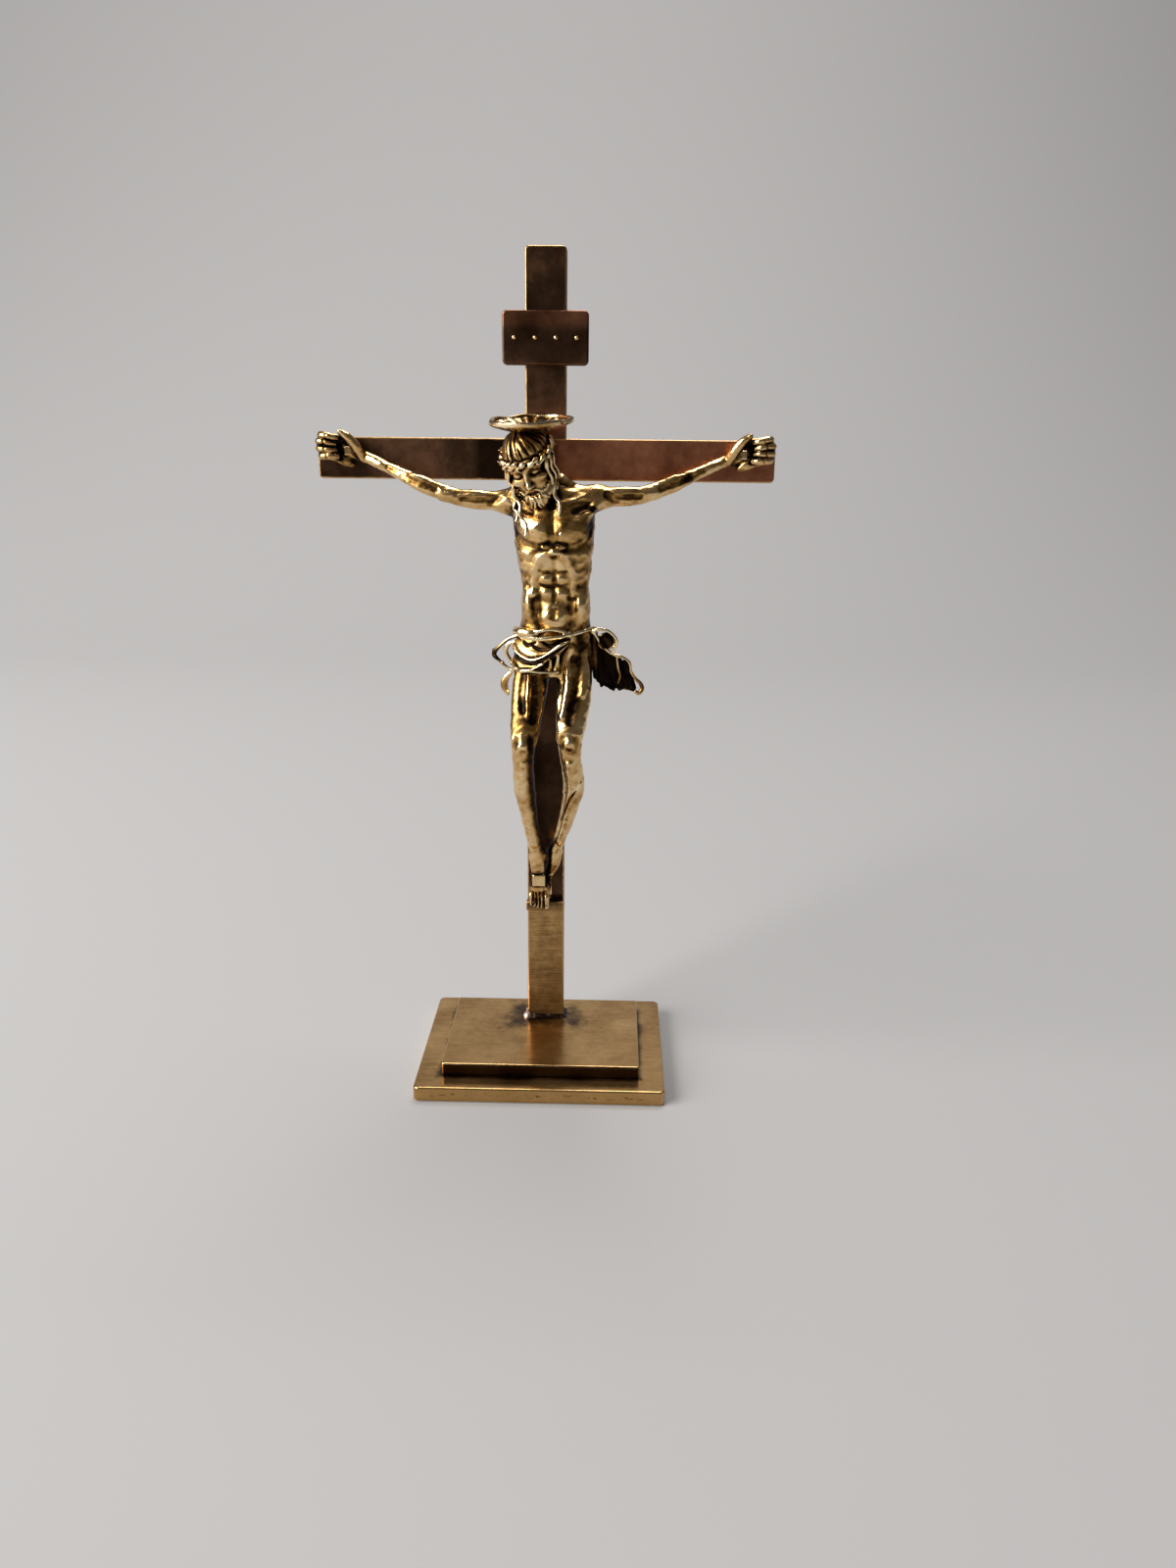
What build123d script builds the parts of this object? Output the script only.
"""Standing crucifix of brass bar and brass castings.

Millimetres, +Z up, the front faces -Y. The origin is the middle of the underside of the base.
"""
import os
from math import asin, cos, exp, pi, radians, sin

from build123d import *

# Base of two stacked plates
BASE_WIDTH = 65.6
BASE_DEPTH = 50.8
BASE_THICKNESS = 4.1
BASE_CORNER = 1.6
BASE_EDGE = 0.5
STEP_WIDTH = 52.2
STEP_DEPTH = 37.8
STEP_THICKNESS = 3.4
STEP_CORNER = 0.6
STEP_EDGE = 0.35

# Cross of two flat bars, halved into each other
BAR_WIDTH = 10.0
BAR_THICKNESS = 4.0
BAR_CORNER = 1.1
BAR_EDGE = 0.35
OVERALL_HEIGHT = 209.5
BEAM_LENGTH = 113.4
BEAM_HEIGHT = 160.8
BAR_FRONT = 8.0
LAP_RIVET_RADIUS = 1.6
LAP_RIVET_HEAD = 2.6
LAP_HEAD_RISE = 0.4

# Tenon of the post, riveted over under the base
TENON_WIDTH = 7.0
TENON_THICKNESS = 2.6
TENON_FLARE = 0.7
TENON_RECESS = 0.3
TENON_FIT = 0.05
BRAZE_LEG = 0.9
BRAZE_BEAD = 1.5

# Title plaque and its pins
TITLE_WIDTH = 20.8
TITLE_HEIGHT = 12.4
TITLE_THICKNESS = 2.1
TITLE_CORNER = 1.2
TITLE_EDGE = 0.5
TITLE_DROP = 20.6
TITLE_PELLET = 0.55
TITLE_PELLET_GAP = 5.0
PIN_RADIUS = 0.8
PIN_SPACING = 6.4
PIN_DEPTH = 1.2

# Footrest ledge
LEDGE_WIDTH = 10.4
LEDGE_DEPTH = 3.2
LEDGE_THICKNESS = 2.6
LEDGE_HEIGHT = 44.0
LEDGE_EDGE = 0.4

# Figure
FIGURE_MIDDLE = 2.5
HIP_DROP = 45.0
KNEE_RAISE = 5.0
TORSO_POINTS = 24
TORSO_SQUARENESS = 2.3
LEG_RINGS = 18
ARM_RINGS = 14
HAND_INSET = 8.2
HAND_RISE = 1.6
HAND_TILT = 30.0
FOOT_MIDDLE = -1.5
FOOT_LENGTH = 15.0
FOOT_THICKNESS = 3.6
BIG_TOE_RADIUS = 0.85
TOE_RADIUS = 0.62
TOE_OVERHANG = 1.6
FINGER_RADIUS = 0.62
FINGER_PITCH = 1.38
FINGER_REACH = 5.4
THUMB_RADIUS = 0.75
PALM_THICKNESS = 2.1
LOCK_RADIUS = 0.8
HEAD_SHIFT = -3.2
HEAD_FORWARD = -3.6
HEAD_RISE = -0.6
HEAD_BOW = 22.0
HEAD_LEAN = -16.0
HEAD_TURN = -14.0
DOWEL_RADIUS = 1.2
DOWEL_LENGTH = 8.0
SHOULDER_JOINT = 11.2
SHOULDER_DROP = 9.3
SHOULDER_SLANT = 0.6

# Cloth
CLOTH_THICKNESS = 0.9
CLOTH_TOP = 41.6
CLOTH_HEM = 51.0
HEM_SLOPE = 22.0
GIRDLE_RADIUS = 0.8
KNOT_RADIUS = 1.1
CURL_RADIUS = 0.8

# Halo and nails
HALO_RADIUS = 10.4
HALO_DEPTH = 2.4
HALO_WALL = 0.8
HALO_TILT = 7.0
HALO_LEAN = -2.0
HALO_SHIFT = 0.3
HALO_FORWARD = -2.9
HALO_RISE = 6.2
PEG_RADIUS = 1.0
PEG_LENGTH = 4.0
PEG_PROUD = 0.3
NAIL_RADIUS = 0.75
NAIL_HEAD = 2.3
FOOT_NAIL_HEAD = 3.4
NAIL_HEAD_RISE = 0.9
NAIL_DEPTH = 3.0
FOOT_NAIL_RISE = 8.0
FOOT_NAIL_SINK = 0.3

# Heights that follow from the sizes above
STEP_TOP = BASE_THICKNESS + STEP_THICKNESS
BAR_MIDDLE = BAR_FRONT + BAR_THICKNESS / 2
BAR_BACK = BAR_FRONT + BAR_THICKNESS
TITLE_MIDDLE = OVERALL_HEIGHT - TITLE_DROP
HAND_X = BEAM_LENGTH / 2 - HAND_INSET
HAND_Z = BEAM_HEIGHT + HAND_RISE


def block(width, depth, height, x, y, z, corner, edge):
    """Plate standing on height z, with rounded corners and softened edges."""
    solid = Pos(x, y, z) * extrude(RectangleRounded(width, depth, corner), amount=height)
    rims = solid.edges().group_by(Axis.Z)
    return fillet(rims[0] + rims[-1], edge)


def flat_bar(width, height, x, z, thickness, corner, edge, front):
    """Upright plate with its front face on y = front, centred on x and z."""
    face = Plane.XZ.offset(-front) * (Pos(x, z) * RectangleRounded(width, height, corner))
    solid = extrude(face, amount=-thickness)
    rims = solid.edges().group_by(Axis.Y)
    return fillet(rims[0] + rims[-1], edge)


def rod(radius, x, z, front, length):
    """Round rod along +Y from y = front."""
    return extrude(Plane.XZ.offset(-front) * (Pos(x, z) * Circle(radius)), amount=-length)


def ellipsoid(half_x, half_y, half_z, x, y, z):
    """Egg form of the three half sizes about a centre."""
    return Pos(x, y, z) * scale(Sphere(1), by=(half_x, half_y, half_z))


def even_rings(stations, count):
    """Rings respaced evenly along the smooth line through a few stations."""
    marks = [0.0]
    for near, far in zip(stations, stations[1:]):
        marks.append(marks[-1] + (Vector(*far[:3]) - Vector(*near[:3])).length)
    slopes = []
    for index in range(len(stations)):
        low = max(index - 1, 0)
        high = min(index + 1, len(stations) - 1)
        run = marks[high] - marks[low]
        slopes.append([(end - start) / run for start, end in zip(stations[low], stations[high])])
    rings = []
    for step in range(count + 1):
        mark = marks[-1] * step / count
        index = max(place for place in range(len(marks) - 1) if marks[place] <= mark)
        span = marks[index + 1] - marks[index]
        part = (mark - marks[index]) / span
        ease = part * part * (3 - 2 * part)
        leave = part * (1 - part) ** 2 * span
        arrive = part * part * (part - 1) * span
        start, end = stations[index], stations[index + 1]
        rings.append([
            (1 - ease) * start[item] + ease * end[item]
            + leave * slopes[index][item] + arrive * slopes[index + 1][item]
            for item in range(5)
        ])
    return rings


def limb(stations, across):
    """Smooth limb through (x, y, z, half size along across, other half size) stations."""
    centres = [Vector(*station[:3]) for station in stations]
    rings = []
    for index, station in enumerate(stations):
        before = centres[max(index - 1, 0)]
        after = centres[min(index + 1, len(centres) - 1)]
        plane = Plane(centres[index], x_dir=across, z_dir=after - before)
        rings.append(plane * Ellipse(station[3], station[4]))
    return loft(rings)


def strand(points, radius, across):
    """Round strand with drawn-in ends through a few points."""
    start, after = Vector(*points[0]), Vector(*points[1])
    before, end = Vector(*points[-2]), Vector(*points[-1])
    tail = start + (start - after).normalized() * radius * 0.7
    tip = end + (end - before).normalized() * radius * 0.7
    rings = [(*tail, radius * 0.55, radius * 0.55)]
    rings += [(*point, radius, radius) for point in points]
    rings += [(*tip, radius * 0.55, radius * 0.55)]
    return limb(rings, across)


def joined(solids):
    """One solid of all, added one after another."""
    whole = solids[0]
    for solid in solids[1:]:
        whole = whole + solid
    return whole


def largest(shape):
    """The largest solid of a cut, without its slivers."""
    return max(shape.solids(), key=lambda solid: solid.volume)


# Post and crossbeam
post_height = OVERALL_HEIGHT - STEP_TOP
post = flat_bar(BAR_WIDTH, post_height, 0, STEP_TOP + post_height / 2,
                BAR_THICKNESS, BAR_CORNER, BAR_EDGE, BAR_FRONT)
square_foot = Pos(0, BAR_MIDDLE, STEP_TOP + BAR_CORNER) * Box(
    BAR_WIDTH, BAR_THICKNESS, 2 * BAR_CORNER)
post += square_foot
beam = flat_bar(BEAM_LENGTH, BAR_WIDTH, 0, BEAM_HEIGHT, BAR_THICKNESS, BAR_CORNER, BAR_EDGE, BAR_FRONT)
lap_front = Pos(0, BAR_FRONT + BAR_THICKNESS / 4, BEAM_HEIGHT) * Box(
    BAR_WIDTH, BAR_THICKNESS / 2, BAR_WIDTH)
lap_back = Pos(0, BAR_BACK - BAR_THICKNESS / 4, BEAM_HEIGHT) * Box(
    BAR_WIDTH, BAR_THICKNESS / 2, BAR_WIDTH)
post = (post - lap_front) + lap_back
beam = (beam - lap_back) + lap_front

# Lap rivet with a low round head on the back
rivet_face = Plane.XZ.offset(-BAR_BACK) * (Pos(0, BEAM_HEIGHT) * Circle(LAP_RIVET_HEAD))
lap_head = extrude(rivet_face, amount=-LAP_HEAD_RISE)
lap_head = fillet(lap_head.edges().group_by(Axis.Y)[-1], LAP_HEAD_RISE * 0.8)
lap_rivet = rod(LAP_RIVET_RADIUS, 0, BEAM_HEIGHT, BAR_FRONT, BAR_THICKNESS) + lap_head
lap_hole = rod(LAP_RIVET_RADIUS, 0, BEAM_HEIGHT, BAR_FRONT, BAR_THICKNESS)
post -= lap_hole
beam -= lap_hole

# Tenon through both plates, flared where it is riveted over
tenon_top = Plane.XY.offset(BASE_THICKNESS) * (Pos(0, BAR_MIDDLE) * Rectangle(TENON_WIDTH, TENON_THICKNESS))
tenon_end = Plane.XY.offset(TENON_RECESS) * (Pos(0, BAR_MIDDLE) * Rectangle(
    TENON_WIDTH + 2 * TENON_FLARE, TENON_THICKNESS + 2 * TENON_FLARE))
tenon = loft([tenon_top, tenon_end]) + extrude(tenon_top, amount=STEP_THICKNESS)
post += tenon

base_slab = block(BASE_WIDTH, BASE_DEPTH, BASE_THICKNESS, 0, 0, 0, BASE_CORNER, BASE_EDGE)
flare_mouth = extrude(tenon_end, amount=-TENON_RECESS)
base_slab = base_slab - tenon - flare_mouth
base_step = block(STEP_WIDTH, STEP_DEPTH, STEP_THICKNESS, 0, 0, BASE_THICKNESS, STEP_CORNER, STEP_EDGE)
mortise = Pos(0, BAR_MIDDLE, BASE_THICKNESS) * extrude(
    Rectangle(TENON_WIDTH + 2 * TENON_FIT, TENON_THICKNESS + 2 * TENON_FIT), amount=STEP_THICKNESS)
base_step -= mortise

# Braze round the post, with a bead at the front corner
braze_foot = Plane.XY.offset(STEP_TOP) * (Pos(0, BAR_MIDDLE) * Rectangle(
    BAR_WIDTH + 2 * BRAZE_LEG, BAR_THICKNESS + 2 * BRAZE_LEG))
braze_lip = Plane.XY.offset(STEP_TOP + BRAZE_LEG) * (Pos(0, BAR_MIDDLE) * Rectangle(
    BAR_WIDTH, BAR_THICKNESS))
braze_core = Pos(0, BAR_MIDDLE, STEP_TOP) * extrude(
    Rectangle(BAR_WIDTH, BAR_THICKNESS), amount=2 * BRAZE_BEAD)
bead = Pos(-BAR_WIDTH / 2, BAR_FRONT, STEP_TOP) * Sphere(BRAZE_BEAD)
bead -= Pos(-BAR_WIDTH / 2, BAR_FRONT, STEP_TOP - BRAZE_BEAD) * Box(
    4 * BRAZE_BEAD, 4 * BRAZE_BEAD, 2 * BRAZE_BEAD)
post_braze = loft([braze_foot, braze_lip]) + bead - braze_core

# Title plaque with four pellets, held by two pins from behind
title_front = BAR_FRONT - TITLE_THICKNESS
title_plaque = flat_bar(TITLE_WIDTH, TITLE_HEIGHT, 0, TITLE_MIDDLE,
                        TITLE_THICKNESS, TITLE_CORNER, TITLE_EDGE, title_front)
for place in range(4):
    pellet_x = (place - 1.5) * TITLE_PELLET_GAP
    title_plaque += Pos(pellet_x, title_front, TITLE_MIDDLE) * Sphere(TITLE_PELLET)
title_pins = []
for side in (-1, 1):
    pin = rod(PIN_RADIUS, 0, TITLE_MIDDLE + side * PIN_SPACING / 2,
              BAR_FRONT - PIN_DEPTH, PIN_DEPTH + BAR_THICKNESS)
    title_plaque -= pin
    post -= pin
    title_pins.append(pin)

# Footrest ledge on its pin
ledge_middle = LEDGE_HEIGHT - LEDGE_THICKNESS / 2
footrest = flat_bar(LEDGE_WIDTH, LEDGE_THICKNESS, 0, ledge_middle, LEDGE_DEPTH,
                    LEDGE_EDGE, LEDGE_EDGE, BAR_FRONT - LEDGE_DEPTH)
footrest_pin = rod(PIN_RADIUS, 0, ledge_middle, BAR_FRONT - PIN_DEPTH, PIN_DEPTH + BAR_THICKNESS)
footrest -= footrest_pin
post -= footrest_pin

# Torso: rings given as drop below the beam's middle line, side shift, middle y, half width,
# depth to the front, depth to the back
TORSO_RINGS = [
    (52.5, 0.0, 1.6, 8.4, 5.4, 4.8),
    (49.0, 0.0, 1.6, 9.8, 6.2, 5.5),
    (44.5, 0.1, 1.4, 9.6, 6.3, 5.3),
    (40.3, 0.3, 1.2, 8.9, 6.3, 4.8),
    (35.8, 0.6, 1.0, 8.2, 6.1, 4.5),
    (30.8, 0.5, 0.8, 8.0, 6.0, 4.8),
    (25.8, 0.3, 0.5, 8.7, 6.5, 5.5),
    (21.3, 0.1, 0.2, 9.3, 7.0, 6.1),
    (17.3, 0.0, 0.0, 9.7, 7.0, 6.5),
    (13.3, -0.1, 0.2, 10.0, 6.3, 6.3),
    (10.0, -0.2, 0.6, 9.4, 5.0, 5.4),
    (7.6, -0.4, 0.8, 6.8, 3.8, 4.2),
    (6.2, -0.7, 0.6, 4.2, 3.1, 3.3),
]
# Muscle forms on the rings: direction, its spread, drop, its spread, rise
MUSCLES = [
    (-128, 24, 17.5, 4.0, 0.9),
    (-52, 24, 17.5, 4.0, 0.9),
    (-90, 9, 17.0, 6.0, -0.7),
    (-90, 34, 28.5, 6.5, -0.9),
    (-106, 12, 30.0, 7.0, 0.5),
    (-74, 12, 30.0, 7.0, 0.5),
    (-140, 14, 24.5, 3.0, 0.7),
    (-40, 14, 24.5, 3.0, 0.7),
    (90, 12, 28.0, 16.0, -0.9),
    (50, 20, 14.0, 5.0, 0.6),
    (130, 20, 14.0, 5.0, 0.6),
]


def soft_ring(ring, swellings):
    """Level outline round the trunk, a soft rectangle with swellings raised on it."""
    drop, shift, middle_y, half_width, front, back = ring
    points = []
    for step in range(TORSO_POINTS):
        turn = 2 * pi * step / TORSO_POINTS
        across = cos(turn)
        deep = sin(turn)
        power = 2 / TORSO_SQUARENESS
        swell = 1.0
        for direction, spread, level, tall, rise in swellings:
            away = (step * 360 / TORSO_POINTS - direction + 180) % 360 - 180
            near = exp(-(away / spread) ** 2 - ((drop - level) / tall) ** 2)
            swell += near * rise / half_width
        depth = back if deep > 0 else front
        x = half_width * swell * abs(across) ** power * (1 if across > 0 else -1)
        y = depth * swell * abs(deep) ** power * (1 if deep > 0 else -1)
        points.append((FIGURE_MIDDLE + shift + x, middle_y + y, BEAM_HEIGHT - drop))
    return Face(Wire([Edge.make_spline(points, periodic=True)]))


torso = loft([soft_ring(ring, MUSCLES) for ring in TORSO_RINGS])

# Legs, each in one sweep from inside the hips to the ball of the hanging foot
hip_z = BEAM_HEIGHT - HIP_DROP
ankle_z = LEDGE_HEIGHT + FOOT_LENGTH
knee_z = (hip_z + ankle_z) / 2 + KNEE_RAISE
shin = knee_z - ankle_z
thigh = hip_z - knee_z


def leg(thigh_line, ankle_x, ankle_y, toe_x, sole_y, toes_z):
    """Leg and foot; thigh_line gives (side shift, y, height, half width, half depth) rings."""
    length = ankle_z - toes_z
    ball_z = toes_z + 0.26 * length
    rings = [(FIGURE_MIDDLE + ring[0],) + ring[1:] for ring in thigh_line]
    rings += [
        (ankle_x, ankle_y, ankle_z, 1.7, 1.9),
        (ankle_x, ankle_y + 0.3, ankle_z - 0.18 * length, 2.0, 2.2),
        ((ankle_x + toe_x) / 2, sole_y - 2.1, ankle_z - 0.45 * length, 2.4, 1.9),
        (toe_x, sole_y - 1.5, ball_z, 2.9, 1.4),
        (toe_x, sole_y - 1.25, ball_z - 0.1 * length, 2.7, 0.9),
    ]
    heel = ellipsoid(1.75, 1.6, 2.3, ankle_x, sole_y - 1.7, ankle_z - 1.6)
    pieces = [limb(even_rings(rings, LEG_RINGS), (1, 0, 0)), heel]
    for count in range(5):
        radius = BIG_TOE_RADIUS if count == 0 else TOE_RADIUS
        tip = toes_z + 0.25 * count + radius
        x = toe_x + 2.1 - (0.35 + 0.95 * count if count else 0)
        pieces.append(strand([(x, sole_y - 1.25, ball_z), (x, sole_y - 1.5, (ball_z + tip) / 2 + 0.4),
                              (x, sole_y - 1.15, tip)], radius, (1, 0, 0)))
    return pieces


upper_sole = BAR_FRONT - FOOT_THICKNESS
right_leg = leg([
    (-4.3, 1.6, hip_z + 0.06 * thigh, 4.2, 4.4),
    (-5.0, 0.6, hip_z - 0.16 * thigh, 4.6, 4.7),
    (-5.9, -2.6, hip_z - 0.48 * thigh, 4.4, 4.5),
    (-6.7, -6.2, hip_z - 0.80 * thigh, 3.6, 3.8),
    (-7.2, -7.8, knee_z - 0.02 * shin, 3.1, 3.2),
    (-7.4, -6.8, knee_z - 0.16 * shin, 2.7, 2.9),
    (-7.3, -3.9, knee_z - 0.38 * shin, 2.8, 3.3),
    (-6.0, -1.2, knee_z - 0.70 * shin, 2.0, 2.3),
], FOOT_MIDDLE - 0.4, 1.2, FOOT_MIDDLE, upper_sole, LEDGE_HEIGHT - TOE_OVERHANG)
left_leg = leg([
    (4.6, 1.6, hip_z + 0.06 * thigh, 4.3, 4.4),
    (5.1, 0.6, hip_z - 0.16 * thigh, 4.7, 4.7),
    (5.2, -2.6, hip_z - 0.48 * thigh, 4.5, 4.5),
    (4.7, -6.2, hip_z - 0.80 * thigh, 3.6, 3.8),
    (4.4, -7.6, knee_z, 3.1, 3.2),
    (4.7, -6.6, knee_z - 0.15 * shin, 2.7, 2.9),
    (5.3, -3.3, knee_z - 0.38 * shin, 2.8, 3.3),
    (3.2, 1.2, knee_z - 0.70 * shin, 2.0, 2.3),
], FOOT_MIDDLE + 3.9, 4.6, FOOT_MIDDLE + 0.6, BAR_FRONT, LEDGE_HEIGHT)

# Neck and head, the head shaped upright and then bowed into place
head_middle = Vector(HEAD_SHIFT, HEAD_FORWARD, BEAM_HEIGHT + HEAD_RISE)
head_place = Location(head_middle) * Rot(0, HEAD_LEAN, 0) * Rot(HEAD_BOW, 0, HEAD_TURN)
neck = limb([
    (FIGURE_MIDDLE - 0.4, 0.8, BEAM_HEIGHT - 10.5, 4.2, 3.6),
    (FIGURE_MIDDLE - 2.0, -0.4, BEAM_HEIGHT - 6.8, 3.3, 3.2),
    (head_middle.X + 0.6, head_middle.Y + 1.4, head_middle.Z - 1.5, 3.0, 3.0),
], (1, 0, 0))
skull = ellipsoid(5.3, 6.3, 6.0, 0, 0.8, 1.4)
face = ellipsoid(4.3, 4.6, 6.2, 0, -2.2, -2.0)
beard = ellipsoid(3.3, 3.0, 3.4, 0, -3.6, -6.2)
nose = ellipsoid(0.85, 1.5, 2.3, 0, -6.1, -1.2)
brow = ellipsoid(3.6, 1.3, 0.8, 0, -5.2, 1.2)
side_hair = [ellipsoid(1.6, 3.0, 6.4, side * 4.6, -0.4, -3.0) for side in (-1, 1)]
back_hair = ellipsoid(5.4, 4.0, 6.4, 0, 2.6, -2.4)
head = head_place * joined([skull, face, beard, nose, brow, back_hair] + side_hair)
locks = [
    strand([(-6.6, -3.4, BEAM_HEIGHT - 5.0), (-5.4, -4.8, BEAM_HEIGHT - 9.5),
            (-3.6, -6.0, BEAM_HEIGHT - 13.0), (-3.9, -7.2, BEAM_HEIGHT - 17.5)], LOCK_RADIUS, (1, 0, 0)),
    strand([(3.0, -3.0, BEAM_HEIGHT - 5.0), (4.4, -3.8, BEAM_HEIGHT - 9.0),
            (5.8, -4.8, BEAM_HEIGHT - 12.5), (6.2, -6.4, BEAM_HEIGHT - 17.0)], LOCK_RADIUS, (1, 0, 0)),
]


def arm(side):
    """Whole arm from inside the shoulder to the closing fingers; side is -1 or 1 along X."""
    shoulder_x = FIGURE_MIDDLE - 0.2 + side * 9.6
    shoulder_z = BEAM_HEIGHT - SHOULDER_DROP + side * SHOULDER_SLANT
    wrist_x = side * (HAND_X - 6.6)
    wrist_z = HAND_Z - 2.4
    elbow_x = shoulder_x + 0.50 * (wrist_x - shoulder_x)
    elbow_z = shoulder_z + 0.18 * (wrist_z - shoulder_z)
    span = wrist_x - elbow_x
    rise = wrist_z - elbow_z
    tilt = radians(HAND_TILT)

    def spot(out, y, up):
        """Place on the raised hand: out along it from its nail, and up across it."""
        x = side * (HAND_X + out * cos(tilt) - up * sin(tilt))
        return (x, y, HAND_Z + out * sin(tilt) + up * cos(tilt))

    form = limb(even_rings([
        (shoulder_x - side * 2.2, 0.8, shoulder_z - 0.6, 3.1, 3.6),
        (shoulder_x, 0.7, shoulder_z, 2.9, 3.2),
        (shoulder_x + side * 4.5, 0.4, shoulder_z + 0.2, 2.3, 2.5),
        ((shoulder_x + elbow_x) / 2 + side * 1.5, 0.2, shoulder_z + 0.1, 2.15, 2.3),
        (elbow_x, 0.4, elbow_z, 1.8, 1.9),
        (elbow_x + 0.26 * span, 1.0, elbow_z + 0.24 * rise, 1.95, 2.15),
        (elbow_x + 0.64 * span, 2.6, elbow_z + 0.62 * rise, 1.5, 1.65),
        (wrist_x, 5.0, wrist_z, 1.15, 1.35),
        (wrist_x + side * 2.8, 6.2, wrist_z + 0.8, 1.4, 1.9),
        (*spot(0, 6.7, 0), 1.35, 2.5),
        (*spot(2.2, 6.6, 0), 1.1, 2.4),
    ], ARM_RINGS), (0, 1, 0))
    pieces = [form]
    for count in range(4):
        up = (count - 1.5) * FINGER_PITCH + 0.2
        reach = FINGER_REACH - 0.35 * abs(count - 1.8)
        pieces.append(strand([
            spot(1.6, 6.5, up), spot(reach - 0.4, 5.6, up), spot(reach, 4.0, up), spot(reach - 1.9, 3.1, up),
        ], FINGER_RADIUS, (-side * sin(tilt), 0, cos(tilt))))
    thumb = [spot(-3.2, 5.7, 0.8), spot(-1.2, 4.8, 2.6), spot(1.2, 4.2, 4.2)]
    pieces.append(strand(thumb, THUMB_RADIUS, (0, 1, 0)))
    return joined(pieces) - behind_bars


# Everything behind the front face of the bars
behind_bars = Pos(0, BAR_FRONT + BEAM_LENGTH, BEAM_HEIGHT) * Box(
    2 * BEAM_LENGTH, 2 * BEAM_LENGTH, 2 * OVERALL_HEIGHT)
corpus_body = joined([torso, joined(right_leg), joined(left_leg), neck, head] + locks) - behind_bars

# Arms meet the shoulder stubs of the body on flat faces, each on a dowel
arms = {}
shoulder_dowels = []
for side in (-1, 1):
    joint_x = FIGURE_MIDDLE + side * SHOULDER_JOINT
    inner = Pos(joint_x - side * BEAM_LENGTH, 0, BEAM_HEIGHT) * Box(
        2 * BEAM_LENGTH, BEAM_LENGTH, BEAM_LENGTH)
    whole = arm(side)
    dowel_z = BEAM_HEIGHT - SHOULDER_DROP + side * SHOULDER_SLANT
    dowel = Pos(joint_x, 0.6, dowel_z) * Rot(0, 90, 0) * Cylinder(DOWEL_RADIUS, DOWEL_LENGTH)
    corpus_body = corpus_body + (whole & inner) - dowel
    arms[side] = whole - inner - dowel
    shoulder_dowels.append(dowel)

# Halo, a shallow dish that sits on the crown, with its peg
dish_radius = (HALO_RADIUS ** 2 + HALO_DEPTH ** 2) / (2 * HALO_DEPTH)
dish_turn = asin(HALO_RADIUS / dish_radius)


def dish_point(radius, turn):
    """Point of the dish's section on a circle about its middle."""
    return (radius * sin(turn), dish_radius - radius * cos(turn))


inner_radius = dish_radius - HALO_WALL
dish_outer = ThreePointArc(*[dish_point(dish_radius, dish_turn * part) for part in (0, 0.5, 1)])
dish_inner = ThreePointArc(*[dish_point(inner_radius, dish_turn * part) for part in (1, 0.5, 0)])
dish_lip = Line(dish_outer @ 1, dish_inner @ 0)
dish_axis = Line(dish_inner @ 1, dish_outer @ 0)
dish = revolve(Plane.XZ * make_face([dish_outer, dish_lip, dish_inner, dish_axis]), Axis.Z)
halo_place = Pos(HEAD_SHIFT + HALO_SHIFT, HALO_FORWARD, BEAM_HEIGHT + HALO_RISE) * Rot(
    HALO_TILT, HALO_LEAN, 0)
halo_peg = halo_place * Pos(0, 0, HALO_WALL + PEG_PROUD - PEG_LENGTH / 2) * Cylinder(PEG_RADIUS, PEG_LENGTH)
bowl = halo_place * revolve(Plane.XZ * make_face([
    dish_outer, Line(dish_outer @ 1, (0, HALO_DEPTH)), Line((0, HALO_DEPTH), (0, 0))]), Axis.Z)
halo = halo_place * dish - halo_peg
corpus_body = corpus_body - bowl - halo_peg


def nail(x, z, head_back, depth, head):
    """Square headed nail along +Y, the underside of its head on y = head_back."""
    shank = rod(NAIL_RADIUS, x, z, head_back, depth)
    square = RectangleRounded(head, head, NAIL_RADIUS / 2)
    cap = extrude(Plane.XZ.offset(-head_back) * (Pos(x, z) * square), amount=NAIL_HEAD_RISE)
    return shank + fillet(cap.edges().group_by(Axis.Y)[0], NAIL_HEAD_RISE / 2)


# Nails through the palms and the crossed feet into the bars
hand_nails = {}
for side in (-1, 1):
    spike = nail(side * HAND_X, HAND_Z, BAR_FRONT - PALM_THICKNESS, PALM_THICKNESS + NAIL_DEPTH, NAIL_HEAD)
    hand_nails[side] = spike
    arms[side] -= spike
    beam -= spike
foot_front = upper_sole - FOOT_THICKNESS + FOOT_NAIL_SINK
foot_nail = nail(FOOT_MIDDLE, LEDGE_HEIGHT + FOOT_NAIL_RISE, foot_front,
                 BAR_FRONT - foot_front + NAIL_DEPTH, FOOT_NAIL_HEAD)
corpus_body -= foot_nail
post -= foot_nail

# Loincloth: a sleeve round the hips with slanting folds, its hem rising to the figure's left
CLOTH_RINGS = [
    (CLOTH_TOP, 0.25, 1.2, 9.9, 7.2, 5.6),
    (CLOTH_TOP + 3.5, 0.1, 0.9, 10.9, 7.9, 6.2),
    (CLOTH_TOP + 8.0, 0.0, 0.4, 11.4, 8.0, 6.9),
    (CLOTH_TOP + 13.5, -0.1, -0.6, 11.4, 8.0, 7.4),
]
FOLDS = [
    (-150, 16, 42.0, 3.0, 0.5),
    (-120, 14, 46.0, 3.0, 0.7),
    (-90, 14, 49.0, 3.5, 0.8),
    (-60, 14, 45.0, 3.0, 0.6),
    (-30, 16, 43.0, 3.0, 0.5),
]
sleeve = loft([soft_ring(ring, FOLDS) for ring in CLOTH_RINGS])
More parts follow.
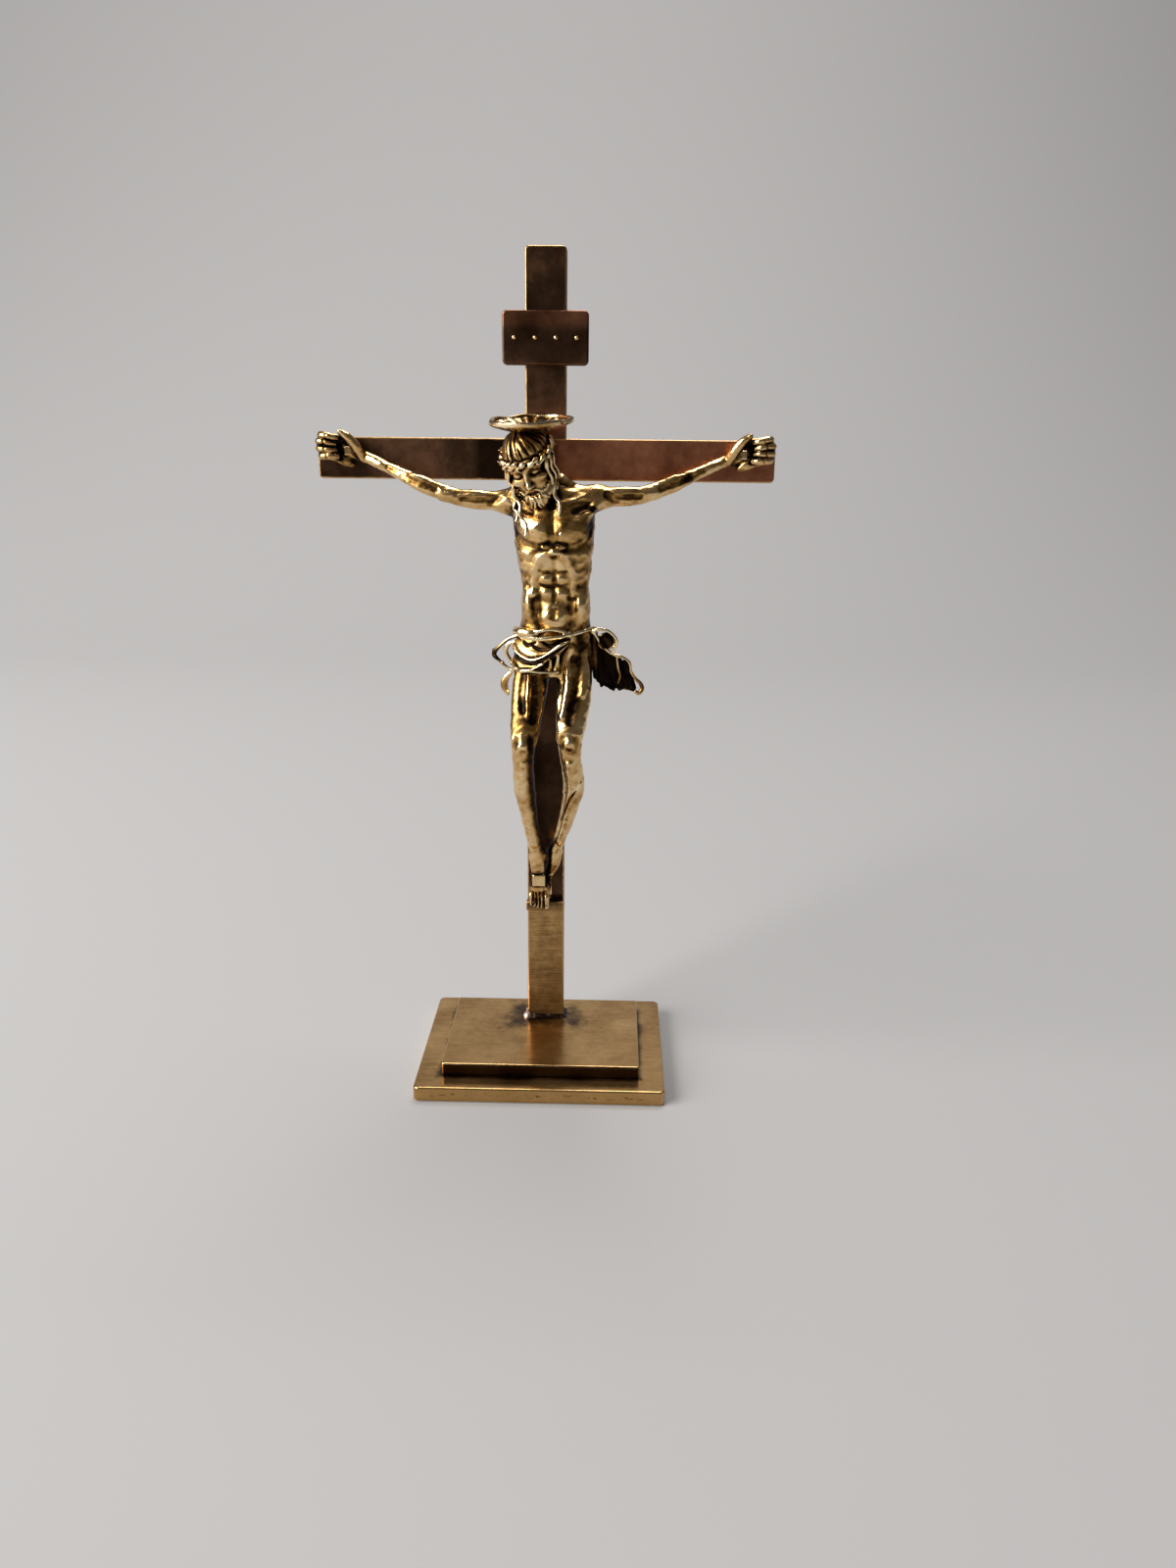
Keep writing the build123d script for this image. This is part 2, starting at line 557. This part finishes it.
hem_cut = Pos(FIGURE_MIDDLE, 0, BEAM_HEIGHT - CLOTH_HEM) * Rot(0, -HEM_SLOPE, 0) * Pos(
    0, 0, -BEAM_LENGTH / 2) * Box(BEAM_LENGTH, BEAM_LENGTH, BEAM_LENGTH)
loincloth = largest(sleeve - hem_cut - corpus_body)

# Girdle cord over the top edge of the cloth
cloth_z = BEAM_HEIGHT - CLOTH_TOP
waist_z = cloth_z + GIRDLE_RADIUS
waist_line = []
for step in range(8):
    turn = 2 * pi * step / 8
    waist_line.append((FIGURE_MIDDLE + 0.25 + 9.6 * cos(turn), 1.0 + 5.9 * sin(turn), waist_z))
waist_loop = Edge.make_spline([Vector(*point) for point in waist_line], periodic=True)
girdle = sweep(Plane(waist_loop @ 0, z_dir=waist_loop % 0) * Circle(GIRDLE_RADIUS), path=waist_loop)
girdle = largest(girdle - corpus_body - loincloth)

# Hanging end of cloth at the figure's left hip: a waved sheet cut to its outline
wave = []
for step in range(13):
    along = step / 12
    wave.append((FIGURE_MIDDLE + 7.5 + 15.5 * along, 1.6 + 1.5 * sin(2 * pi * 2.5 * along)))
sheet = Pos(0, 0, cloth_z - 20) * extrude(trace(Spline(*wave), CLOTH_THICKNESS), amount=26)
drape_points = [(8.0, 1.5), (12.0, 1.4), (15.4, -0.6), (16.6, -4.4), (18.6, -9.0), (22.0, -13.0),
                (21.2, -15.4), (18.2, -15.0), (15.6, -15.6), (12.6, -15.0), (10.0, -11.6), (8.4, -5.0)]
drape_line = [(FIGURE_MIDDLE + x, cloth_z + z) for x, z in drape_points]
drape_side = make_face(Plane.XZ * Spline(*drape_line, periodic=True))
hip_drape = sheet & extrude(drape_side, amount=BEAM_LENGTH / 4, both=True)
hip_drape = largest(hip_drape - corpus_body - loincloth - girdle)

# Curled loop over the hanging end, and the small loop with its tail on the other hip
hip_knot = strand([(FIGURE_MIDDLE + 8.6, -3.2, cloth_z + 1.8), (FIGURE_MIDDLE + 13.2, -3.0, cloth_z + 1.0),
                   (FIGURE_MIDDLE + 15.8, -2.4, cloth_z - 2.0), (FIGURE_MIDDLE + 13.6, -2.0, cloth_z - 4.4),
                   (FIGURE_MIDDLE + 9.0, -2.4, cloth_z - 2.4)], KNOT_RADIUS, (0, 1, 0))
hip_knot = largest(hip_knot - corpus_body - loincloth - girdle - hip_drape)
side_curl = strand([(FIGURE_MIDDLE - 9.8, -1.6, cloth_z - 0.6), (FIGURE_MIDDLE - 13.4, -1.4, cloth_z - 2.8),
                    (FIGURE_MIDDLE - 15.2, -1.0, cloth_z - 6.0), (FIGURE_MIDDLE - 13.2, -1.0, cloth_z - 8.4),
                    (FIGURE_MIDDLE - 10.2, -1.2, cloth_z - 9.6)], CURL_RADIUS, (0, 1, 0))
side_tail = strand([(FIGURE_MIDDLE - 11.4, -1.1, cloth_z - 9.2), (FIGURE_MIDDLE - 13.0, -0.8, cloth_z - 12.4),
                    (FIGURE_MIDDLE - 12.4, -0.4, cloth_z - 16.2)], CURL_RADIUS, (0, 1, 0))
side_loop = largest(side_curl + side_tail - corpus_body - loincloth - girdle)

NODES = {
    "base_slab": base_slab,
    "base_step": base_step,
    "post": post,
    "crossbeam": beam,
    "lap_rivet": lap_rivet,
    "post_braze": post_braze,
    "title_plaque": title_plaque,
    "title_pins": Compound(children=title_pins),
    "footrest": footrest,
    "footrest_pin": footrest_pin,
    "corpus_body": corpus_body,
    "right_arm": arms[-1],
    "left_arm": arms[1],
    "shoulder_dowels": Compound(children=shoulder_dowels),
    "loincloth": loincloth,
    "girdle": girdle,
    "hip_drape": hip_drape,
    "hip_knot": hip_knot,
    "side_loop": side_loop,
    "halo": halo,
    "halo_peg": halo_peg,
    "foot_nail": foot_nail,
    "right_hand_nail": hand_nails[-1],
    "left_hand_nail": hand_nails[1],
}

os.makedirs("parts", exist_ok=True)
for name, solid in NODES.items():
    print(name, round(solid.volume, 2), solid.is_valid)
    export_step(solid, "parts/" + name + ".step")
